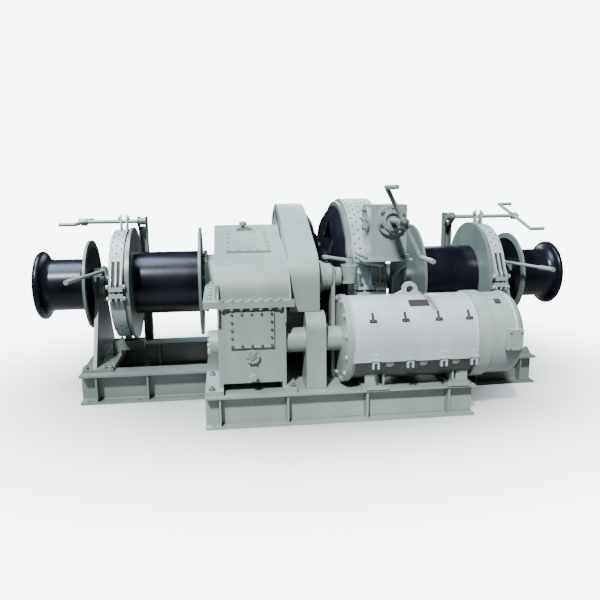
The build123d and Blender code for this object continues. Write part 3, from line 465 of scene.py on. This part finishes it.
# %% [markdown]
# ## Bolts of the gearbox
#
# The two halves of the box meet at a thick flange that is bolted all round at one pitch. Its
# bolts stand on the upper flange, with nuts below. Covers are held by smaller screws near
# their edge. Most spots are measured from the CAD nodes' own boxes. A bolted ring stands
# round the shaft where it enters the box, and a blank plate lies on the sloping top.

# %% Gearbox bolts, plugs and plates
upper_lo, upper_hi = span_of("gearbox_upper")
lower_lo = span_of("gearbox_lower")[0]
covers_lo, covers_hi = span_of("gearbox_covers")
flange_thick = 0.018  # each of the two flanges of the split
flange_top, flange_low = shaft_z + flange_thick, shaft_z - flange_thick
front_y, back_y = upper_lo[1] + 0.012, upper_hi[1] - 0.016
left_x, right_x = upper_lo[0] + 0.097, upper_hi[0] - 0.028
split_spots = np.concatenate([
    line((left_x + 0.020, front_y, flange_top), (right_x - 0.050, front_y, flange_top), 7),
    line((left_x - 0.045, -0.760, flange_top), (left_x - 0.045, -0.230, flange_top), 6),
    line((left_x, back_y, flange_top), (right_x, back_y, flange_top), 7),
])
under = split_spots * (1, 1, 0) + (0, 0, flange_low)
boss_x = upper_lo[0]
input_x = lower_lo[0] + 0.044  # face of the input shaft's bearing cap
parts = [copies(hex_bolt(0.013), split_spots), copies(stud_nut(0.013), under, down),
         copies(hex_bolt(0.014), ring((boss_x, 0, shaft_z), 0.152, 12, first=0.26), left),
         copies(hex_bolt(0.014), ring((input_x, motor_y, motor_z), 0.052, 6), left)]
piece("gearbox_bolts", parts, "box", "base")
shield = turned([(0.172, 0.0), (0.203, 0.0), (0.203, 0.014), (0.172, 0.014), (0.172, 0.0)], 48)
shield_centre = (boss_x + 0.014, 0, shaft_z)
piece("shaft_shield", [copies(shield, [shield_centre], right)], "box", "base")
parts = [copies(hex_bolt(0.011), ring(shield_centre, 0.189, 18, first=0.1), left)]
piece("shaft_shield_nuts", parts, "painted_bolt", "base")

middle_x = (covers_lo[0] + covers_hi[0]) / 2
cover_y = covers_lo[1] + 0.016
cover_left, cover_right = middle_x - 0.106, middle_x + 0.106
cover_rows, cover_between = (0.611, 0.439), (0.568, 0.482)  # heights of its screws
plate_spots = np.concatenate(
    [line((cover_left, cover_y, z), (cover_right, cover_y, z), 5) for z in cover_rows]
    + [line(*((x, cover_y, z) for z in cover_between), 3) for x in (cover_left, cover_right)])
slope_start = np.array((middle_x, -0.712, 0.869))
case_r = 0.365  # the slope is a tangent to the round top of the case
reach = np.hypot(slope_start[1], slope_start[2] - shaft_z)
aim = np.arctan2(shaft_z - slope_start[2], -slope_start[1]) + np.arcsin(case_r / reach)
uphill = np.array((0, np.cos(aim), np.sin(aim)))
away = np.array((0, -np.sin(aim), np.cos(aim)))


def on_slope(x, along, lift=0.0):
    """A point of the sloping top: x across it, metres up it and metres above it."""
    return slope_start + (x, 0, 0) + uphill * along + away * lift


half_w = 0.113  # of the sloping cover, to its screws
slope_spots = np.array([on_slope(x, y, 0.012) for xs, ys in (
    (np.linspace(-half_w, half_w, 5), (0.172, 0.518)),
    ((-half_w, half_w), np.linspace(0.23, 0.46, 4))) for x in xs for y in ys])
sight = (middle_x, cover_y - 0.004, 0.378)
piece("front_cover_screws", [copies(hex_bolt(0.0075), plate_spots, front)], "dark_bolt", "base")
parts = [copies(hex_bolt(0.007), slope_spots, away),
         copies(hex_bolt(0.008), ring(sight, 0.031, 6, "y"), front),
         copies(hex_bolt(0.022), [(middle_x, covers_lo[1], 0.268)], front)]
piece("gearbox_cover_bolts", parts, "painted_bolt", "base")
glass = turned([(0.0, 0.0), (0.021, 0.0), (0.021, 0.003), (0.018, 0.005), (0.0, 0.005)])
piece("oil_sight_glass", [copies(glass, [sight], front)], "glass", "base", smooth=True)
label, faces = box((0.094, 0.060, 0.010), (0, 0, 0.008))
label = label @ np.array([right, uphill, away]) + on_slope(-0.004, 0.560)
piece("gearbox_data_plate", [(label, faces)], "pale", "base")
print("gearbox:", len(split_spots), "bolts with nuts at the split and",
      len(plate_spots) + len(slope_spots), "cover screws")

# %% Painted shadows in the openings of the gear guard
guard_x = span_of("gear_guard")[0][0]


def slot_plate(length, width, count=8):
    """A flat slot outline with round ends, as a prism 2 mm thick along +Z."""
    angle = np.linspace(-pi / 2, pi / 2, count)
    cap = np.stack([np.cos(angle), np.sin(angle)], -1) * width / 2
    rim = np.concatenate([cap + ((length - width) / 2, 0), -cap - ((length - width) / 2, 0)])
    points = np.concatenate([np.insert(rim, 2, 0, axis=1), np.insert(rim, 2, 0.002, axis=1)])
    n = len(rim)
    k = np.arange(count - 1)
    lid = np.column_stack([k, k + 1, n - 2 - k, n - 1 - k]) + n
    return points, np.concatenate([rim_quads(n), lid])


# each opening is a thin near-black plate on the guard's side: painted shadow
parts = []
for y, z, length, degrees in ((-0.045, 1.092, 0.20, 20), (-0.265, 1.002, 0.17, 30),
                              (0.180, 1.082, 0.14, -20)):
    points, faces = slot_plate(length, 0.034)
    lean = radians(degrees)
    turn = np.array([(0, cos(lean), sin(lean)), (0, sin(lean), -cos(lean)), left])
    parts.append((points @ turn + (guard_x, y, z), faces))
piece("gear_guard_opening_shadows", parts, "opening", "base")
print("guard:", len(parts), "slots")

# %% [markdown]
# ## Rivets of the brake bands
#
# A brake lining is riveted to its band, so the band shows rows of heads, each row staggered
# against the next. A row is a ring of spots at one x, and a rivet's own axis is the radius
# through it. The rivets stop short of the lugs, where the band's ends are welded.


# %% Band rivets, lug pins and split nuts
def radial(spots):
    """Unit vectors from the shaft's axis through each spot."""
    away = np.array(spots) - (0, 0, shaft_z)
    away[:, 0] = 0
    return away / np.linalg.norm(away, axis=1)[:, None]


def band_rivets(name, rows, radius, skip, count, size):
    """Rows of rivets at those x, none within `skip` degrees of the lugs."""
    parts = []
    for i, x in enumerate(rows):
        spots = ring((x, 0, shaft_z), radius, count, first=pi / count * (1 + i % 2))
        angle = np.degrees(np.arctan2(spots[:, 2] - shaft_z, np.abs(spots[:, 1])))
        spots = spots[np.abs(angle) > skip]
        parts.append(copies(rivet(size), spots, radial(spots)))
    return piece(name, parts, "plate", "base", smooth=True)


drum_band = {"radius": 0.345, "skip": 37, "count": 36, "size": 0.0062}
anchor_band = {"radius": 0.527, "skip": 15, "count": 52, "size": 0.0068}
band_rivets("left_band_rivets", (-1.170, -1.198, -1.226), **drum_band)
band_rivets("right_band_rivets", (1.170, 1.198, 1.226), **drum_band)
band_rivets("anchor_band_rivets", (0.220, 0.250, 0.280), **anchor_band)
band_rivets("anchor_outer_rivets", (0.320, 0.350, 0.380), **anchor_band)
lug_half = 0.032  # half the height over a pair of lugs, which meet at the shaft's height
parts = []
for size, rows, lug_y in ((0.012, (-1.218, -1.178, 1.178, 1.218), 0.362),
                          (0.016, (0.240, 0.380), 0.545)):
    for x in rows:
        for y in (-lug_y, lug_y):
            parts.append(copies(stud_nut(size), [(x, y, shaft_z + lug_half)]))
            parts.append(copies(stud_nut(size), [(x, y, shaft_z - lug_half)], down))
piece("band_lug_nuts", parts, "shade", "base")
pin = turned([(0.0, 0.0), (0.013, 0.0), (0.013, 0.010), (0.010, 0.013), (0.0, 0.013)], 16)
lug_pins, ear_pins = [(-0.372, 0.700), (-0.372, 0.630)], [(0.0, 1.085)]
parts = []
for side in (-1, 1):
    for x, way, spots in ((1.1555, -1, lug_pins), (1.2405, 1, lug_pins),
                          (1.160, -1, ear_pins), (1.205, 1, ear_pins)):
        parts.append(copies(pin, [(side * x, y, z) for y, z in spots], (side * way, 0, 0)))
piece("band_pins", parts, "band", "base")


def upright_plate(outline, x, thick):
    """A flat plate from four (y, z) corners, `thick` along x about x."""
    points = np.array([(x + dx, y, z) for dx in (-thick / 2, thick / 2) for y, z in outline])
    lids = np.array([(3, 2, 1, 0), (4, 5, 6, 7)])
    return points, np.concatenate([rim_quads(4), lids])


rib_outline = [(-0.372, 0.712), (-0.338, 0.712), (-0.284, 0.852), (-0.300, 0.852)]
slot_outline = [(-0.355, 0.715), (-0.338, 0.715), (-0.287, 0.843), (-0.299, 0.843)]
piece("band_ribs", [upright_plate(rib_outline, side * x, 0.009) for side in (-1, 1)
                    for x in (1.1676, 1.198, 1.2284)], "band", "base")
# the slots between the ribs are thin near-black plates: painted shadow
piece("band_slot_shadows", [upright_plate(slot_outline, side * x, 0.016) for side in (-1, 1)
                     for x in (1.1828, 1.2132)], "opening", "base")
print("bands riveted and pinned")

# %% [markdown]
# ## Motor fittings
#
# The motor wears a rain cover that clips on. Four hasps hold it low on the front, and four
# small latches sit above them. Two blank plates lie on top. Each fitting is a few boxes and
# pins placed on the cover's surface, whose radius the CAD gives. Below the cover, webs and
# small lugs show on the stator and its feet.

# %% Hasps, latches, plates and flange bolts
shell_y = span_of("motor_cover")[0][1]
cover_r = motor_y - shell_y
skirt_low = 0.356
parts = []
for x in (0.221, 0.410, 0.596, 0.766):
    parts.append(box((0.034, 0.008, 0.050), (x, shell_y - 0.004, skirt_low + 0.020)))
    parts.append(box((0.050, 0.010, 0.012), (x, shell_y - 0.009, skirt_low + 0.014)))
    for dx in (-0.014, 0.014):
        parts.append(box((0.010, 0.018, 0.034), (x + dx, shell_y - 0.002, skirt_low - 0.018)))
piece("motor_hasps", parts, "motor", "base")


def on_cover(x, lift, out):
    """A point `out` metres off the round cover, and its axes: along x, round it and away."""
    way = np.array((0, -cos(radians(lift)), sin(radians(lift))))
    spot = np.array((x, motor_y, motor_z)) + way * (cover_r + out)
    return spot, np.array([right, np.cross(way, right), way])


def cover_plate(name, x, lift, width, height, thick=0.003):
    """A flat plate on the cover: width along the motor, height round it."""
    spot, axes = on_cover(x, lift, thick / 2 + 0.001)
    points, faces = box((width, height, thick))
    return piece(name, [(points @ axes + spot, faces)], "plate", "base")


parts = []
for x in (0.214, 0.391, 0.575, 0.745):
    spot, axes = on_cover(x, 34, 0.004)
    along, way = axes[1:]
    for size, shift in (((0.040, 0.014, 0.010), 0.0), ((0.012, 0.050, 0.006), 0.022)):
        points, faces = box(size)
        parts.append((points @ axes + spot + along * shift, faces))
    parts.append(copies(rivet(0.006), [spot + way * 0.004 - along * 0.004], way))
piece("motor_latches", parts, "plate", "base")
cover_plate("motor_data_plate", 0.487, 61, 0.110, 0.050)
cover_plate("motor_small_plate", 0.936, 60, 0.034, 0.034)
seam_w, sunk, steps = 0.010, -0.002, 49
angle = np.linspace(radians(-2), radians(182), steps)
bands = []
for x, r in ((0.102, 0.0015), (0.784, 0.0020), (1.006, 0.0015)):
    rows = [(x + dx, cover_r + dr) for dx, dr in ((0, sunk), (0, r), (seam_w, r), (seam_w, sunk))]
    points = np.array([(px, motor_y - pr * cos(t), motor_z + pr * sin(t)) for px, pr in rows
                       for t in angle])
    i, j = np.meshgrid(np.arange(3), np.arange(steps - 1), indexing="ij")
    first = i * steps + j
    faces = np.stack([first, first + steps, first + steps + 1, first + 1], -1).reshape(-1, 4)
    bands.append((points, faces))
piece("motor_cover_seams", bands, "motor", "base", smooth=True)
flange_x = span_of("motor_body")[0][0]
bell_x = span_of("motor_end_bell")[1][0]
parts = [copies(hex_bolt(0.013), ring((flange_x, motor_y, motor_z), 0.224, 12, first=0.26), left),
         copies(hex_bolt(0.010), ring((bell_x, motor_y, motor_z), 0.078, 8), right)]
terminal_lo, terminal_hi = span_of("motor_terminal_box")
inset = 0.012
for x in (terminal_lo[0] + inset, terminal_hi[0] - inset):
    for z in (terminal_lo[2] + inset, terminal_hi[2] - inset):
        parts.append(copies(hex_bolt(0.008), [(x, terminal_lo[1], z)], front))
for x in (0.184, 0.285, 0.668, 0.770):
    parts.append(copies(hex_bolt(0.016), [(x, -0.615, base_z)]))
piece("motor_bolts", parts, "painted_bolt", "base")
parts = []
for x, web in ((0.2185, 0.287), (0.735, 0.684)):
    parts.append(box((0.067, 0.010, 0.110), (x, -0.897, 0.253)))
    parts.append(box((0.010, 0.100, 0.118), (web, -0.855, 0.257)))
    parts.append(box((0.128, 0.030, 0.012), ((x + web) / 2, -0.912, 0.188)))
lug = turned([(0.0, 0.0), (0.024, 0.0), (0.022, 0.010), (0.0, 0.012)], 20)
for x in (0.303, 0.491, 0.672):
    parts.append(copies(lug, [(x, -0.962, 0.345)], (0, -0.92, -0.39)))
piece("motor_foot_webs", parts, "stator", "base")
print("motor fitted")

# %% [markdown]
# ## Stands, feet and welds
#
# Wherever a stand meets the frame, its base plate is bolted. These bolts are larger. The
# brake box carries a ring of bolts round its spindle and screws at its base plate. Weld beads
# join the plates of the frame: each is a rod whose radius ripples along its length.

# %% Bolts of the stands
parts = []
for side in (-1, 1):
    for x in (1.262, 1.300, 1.408):
        for y in (-0.345, 0.345):
            parts.append(copies(stud_nut(0.018), [(side * x, y, base_z)]))
for x in (0.565, 0.672):
    for y in (-0.262, 0.262):
        parts.append(copies(stud_nut(0.018), [(x, y, base_z)]))
foot_z = 0.206  # top of the gearbox feet
foot = copies(stud_nut(0.018), [(-0.645, -0.868, foot_z), (-0.645, -0.600, foot_z),
                                (-0.210, -0.868, foot_z), (-0.645, 0.242, foot_z)])
piece("stand_bolts", parts + [foot], "frame", "base")
box_lo, box_hi = span_of("brake_box")
spindle_z, plate_z = 1.088, 0.872
spindle = (0.365, box_lo[1], spindle_z)
parts = [copies(hex_bolt(0.012), ring(spindle, 0.066, 6, "y", 0.39), front),
         copies(hex_bolt(0.010), ring((box_lo[0], -0.615, spindle_z), 0.058, 6), left)]
for x in (box_lo[0] - 0.010, box_hi[0] + 0.012):
    parts.append(copies(hex_bolt(0.012), line((x, -0.705, plate_z), (x, -0.525, plate_z), 4)))
piece("brake_box_bolts", parts, "bolt", "base")
collar = turned([(0.040, 0.0), (0.058, 0.0), (0.058, 0.010), (0.040, 0.014)], 40)
piece("brake_box_spindle_cap", [copies(collar, [spindle], front)], "crank", "base")
print("stands bolted")


# %% Weld beads
def bead(first, last, radius=0.005, ripple=0.010, sides=6):
    """A weld bead: a half-buried round rod whose radius ripples along its length."""
    first, last = np.array(first, float), np.array(last, float)
    length = np.linalg.norm(last - first)
    rows = max(8, int(length / ripple) * 3)
    along = np.linspace(0, 1, rows)
    girth = radius * (1 + 0.18 * np.sin(along * length / ripple * tau))
    angle = np.arange(sides) * tau / sides
    rim = np.stack([np.outer(girth, np.cos(angle)), np.outer(girth, np.sin(angle)),
                    np.repeat((along * length)[:, None], sides, 1)], -1).reshape(-1, 3)
    return rim @ facing(last - first).T + first, grid(rows, sides)


half = 0.005  # half the thickness of a web or rib: a bead runs along each of its faces
web_top, web_foot = 0.168, 0.012  # inner faces of a beam's two flanges
frame_lo, frame_hi = span_of("left_front_beam")
web_y = (frame_lo[1] + frame_hi[1]) / 2 - half
bed_lo, bed_hi = span_of("bed_front_beam")
bed_web = bed_lo[1] + 0.060 - half
runs = []
for side in (-1, 1):
    runs += [((side * x, -0.330, base_z), (side * x, 0.330, base_z)) for x in (1.346, 1.368)]
    runs += [((side * 1.245, y, base_z), (side * 1.295, y, base_z)) for y in (-0.045, 0.045)]
runs += [((x, -0.255, base_z), (x, 0.255, base_z)) for x in (0.600, 0.622)]
runs += [((-1.430, web_y, web_top), (-0.690, web_y, web_top)),
         ((-1.430, web_y, web_foot), (-0.690, web_y, web_foot)),
         ((0.820, web_y, web_foot), (1.430, web_y, web_foot))]
runs += [((bed_lo[0], bed_web, z), (bed_hi[0], bed_web, z)) for z in (web_foot, web_top)]
runs += [((x + dx, bed_web, 0.014), (x + dx, bed_web, web_top))
         for x in (-0.604, -0.239, 0.200, 0.666) for dx in (-half, half)]
runs += [((x, -0.845, deck_z), (x, -0.655, deck_z)) for x in (-0.128, -0.020)]
runs += [((-0.128, -0.847, deck_z), (-0.020, -0.847, deck_z))]
parts = [bead(*ends) for ends in runs]
parts += [bead((x, -0.857, 0.686), (x, -0.832, 0.765), 0.004) for x in (-0.604, -0.594)]
piece("weld_beads", parts, "frame", "base", smooth=True)
print(len(parts), "weld beads")

# %% [markdown]
# ## Fittings that move
#
# Each of these rides on a moving body: nuts at the crank hubs, collars that hold the levers on
# their pins, and set screws of the clutch collars. Their places follow from the joints that the
# CAD record gives, so they turn about the same axes.

# %% Hub nuts, pin collars and set screws
joints = {joint["name"]: np.array(joint["pos_m"]) for joint in
          frame["record"]["behaviour"]["joints"]}
hub_out = 0.018  # from a crank's joint to the face of its hub
cranks = {"left_crank": left, "right_crank": right, "centre_crank": front}
for body, way in cranks.items():
    spot = joints[body + "_turn"] + np.array(way) * hub_out
    piece(body + "_hub_nut", [copies(stud_nut(0.015), [spot], way)], "bolt", body)
washer = turned([(0.0095, 0.0), (0.019, 0.0), (0.019, 0.004), (0.0095, 0.004), (0.0095, 0.0)])
levers = {"left_lever": 0.0205, "right_lever": 0.0205, "centre_lever": 0.0135}
for body, lift in levers.items():
    spot = joints[body + "_swing"] + (0, 0, lift)
    piece(body + "_pin_washer", [copies(washer, [spot])], "bolt", body)
parts = []
for x in (-1.274, 1.274, 0.478, 0.542):
    spots = ring((x, 0, shaft_z), 0.088, 4, first=0.5)
    parts.append(copies(hex_bolt(0.010), spots, radial(spots)))
piece("clutch_set_screws", parts, "bolt", "shaft_line")
head_x = span_of("right_warping_head")[1][0]
cap = turned([(0.062, 0.0), (0.090, 0.0), (0.090, 0.012), (0.062, 0.012)], 40)
parts = [copies(cap, [(side * head_x, 0, shaft_z)], (side, 0, 0)) for side in (-1, 1)]
for side in (-1, 1):
    spots = ring((side * (head_x + 0.010), 0, shaft_z), 0.076, 6)
    parts.append(copies(hex_bolt(0.010), spots, (side, 0, 0)))
piece("head_end_caps", parts, "black", "shaft_line")

# %% [markdown]
# ## Camera, floor and light
#
# The camera repeats the one that took the photograph: its place, its two angles and its
# slight roll were solved from the photo's own straight edges and circles. The sun's direction
# follows from two shadows, of the coupling cover on the bed and of the crank on its box: it
# comes from the front left at 48 degrees. Three soft lights fill in. The pale floor fades
# away from the machine, so that a white backdrop shows all round, as in the photo.

# %% Camera
yaw, pitch, roll = 0.127275, 0.188167, -0.007975
camera_at = (-0.56245, -3.97084, 1.27889)
image_width, focal_pixels = 600.0, 600.214
ahead = np.array([sin(yaw) * cos(pitch), cos(yaw) * cos(pitch), -sin(pitch)])
across = np.array([cos(yaw), -sin(yaw), 0.0])
upward = np.cross(across, ahead)
image_right = across * cos(roll) + upward * sin(roll)
image_up = upward * cos(roll) - across * sin(roll)
camera_data = bpy.data.cameras.new("camera")
camera_data.sensor_width = 36.0
camera_data.lens = 36.0 * focal_pixels / image_width
camera = bpy.data.objects.new("camera", camera_data)
camera.matrix_world = Matrix([*zip(image_right, image_up, -ahead, camera_at), (0, 0, 0, 1)])
bpy.context.scene.collection.objects.link(camera)
bpy.context.scene.camera = camera
print("camera lens", round(camera_data.lens, 2), "mm")


# %% Floor, lights and sky
def lamp(name, kind, way, energy, colour, place=(0, 0, 0), size=0.0):
    """A sun or a round area light that shines along a way."""
    data = bpy.data.lights.new(name, kind)
    data.energy, data.color = energy, colour
    if kind == "AREA":
        data.shape, data.size = "DISK", size
    else:
        data.angle = size
    made = bpy.data.objects.new(name, data)
    made.location = place
    made.rotation_euler = Vector(way).to_track_quat("-Z", "Y").to_euler()
    bpy.context.scene.collection.objects.link(made)


floor_material, floor_shader, floor_place = start("floor")
squeezed = floor_place.node("ShaderNodeVectorMath", {"operation": "MULTIPLY"},
                            {0: floor_place, 1: (0.72, 1.0, 1.0)})
distance = squeezed.node("ShaderNodeVectorMath", {"operation": "LENGTH"}, {0: squeezed},
                         out="Value")
tone = floor_place.noise(1.5).blend((0.35, 0.35, 0.35, 1), (0.37, 0.37, 0.37, 1))
wire(floor_shader, Base_Color=tone, Roughness=0.7, Alpha=1.0 - distance.over(0.7, 2.5))
floor_mesh = bpy.data.meshes.new("floor")
far = 30.0
floor_mesh.from_pydata([(-far, -far, 0), (far, -far, 0), (far, far, 0), (-far, far, 0)], [],
                       [(0, 1, 2, 3)])
floor = bpy.data.objects.new("floor", floor_mesh)
floor.data.materials.append(floor_material)
bpy.context.scene.collection.objects.link(floor)
lamp("key", "SUN", (0.47, 1.0, -1.22), 8.0, (1.0, 0.99, 0.965), size=radians(5))
for name, place, target, size, power, colour in (
        ("top", (-2.4, 0.0, 5.2), (0, 0, 0.6), 3.5, 700, (0.74, 0.87, 1.0)),
        ("fill", (4.5, -4.5, 2.4), (0, 0, 0.6), 3.0, 6, (0.90, 0.95, 1.0)),
        ("back", (1.5, 5.0, 3.0), (0, 0, 0.5), 3.0, 110, (0.93, 0.96, 1.0))):
    lamp(name, "AREA", Vector(target) - Vector(place), power, colour, place, size)
world = bpy.data.worlds.new("studio")
bpy.context.scene.world = world
world.use_nodes = True
sky = world.node_tree.nodes["Background"]
sky.inputs["Color"].default_value = (0.92, 0.96, 1.0, 1)
seen = Tap(world.node_tree, None).node("ShaderNodeLightPath")
glow, backdrop = 0.05, 8.0  # light from all round, and the extra brightness that is only seen
world.node_tree.links.new((seen * backdrop + glow).socket, sky.inputs["Strength"])
print("stage lit")
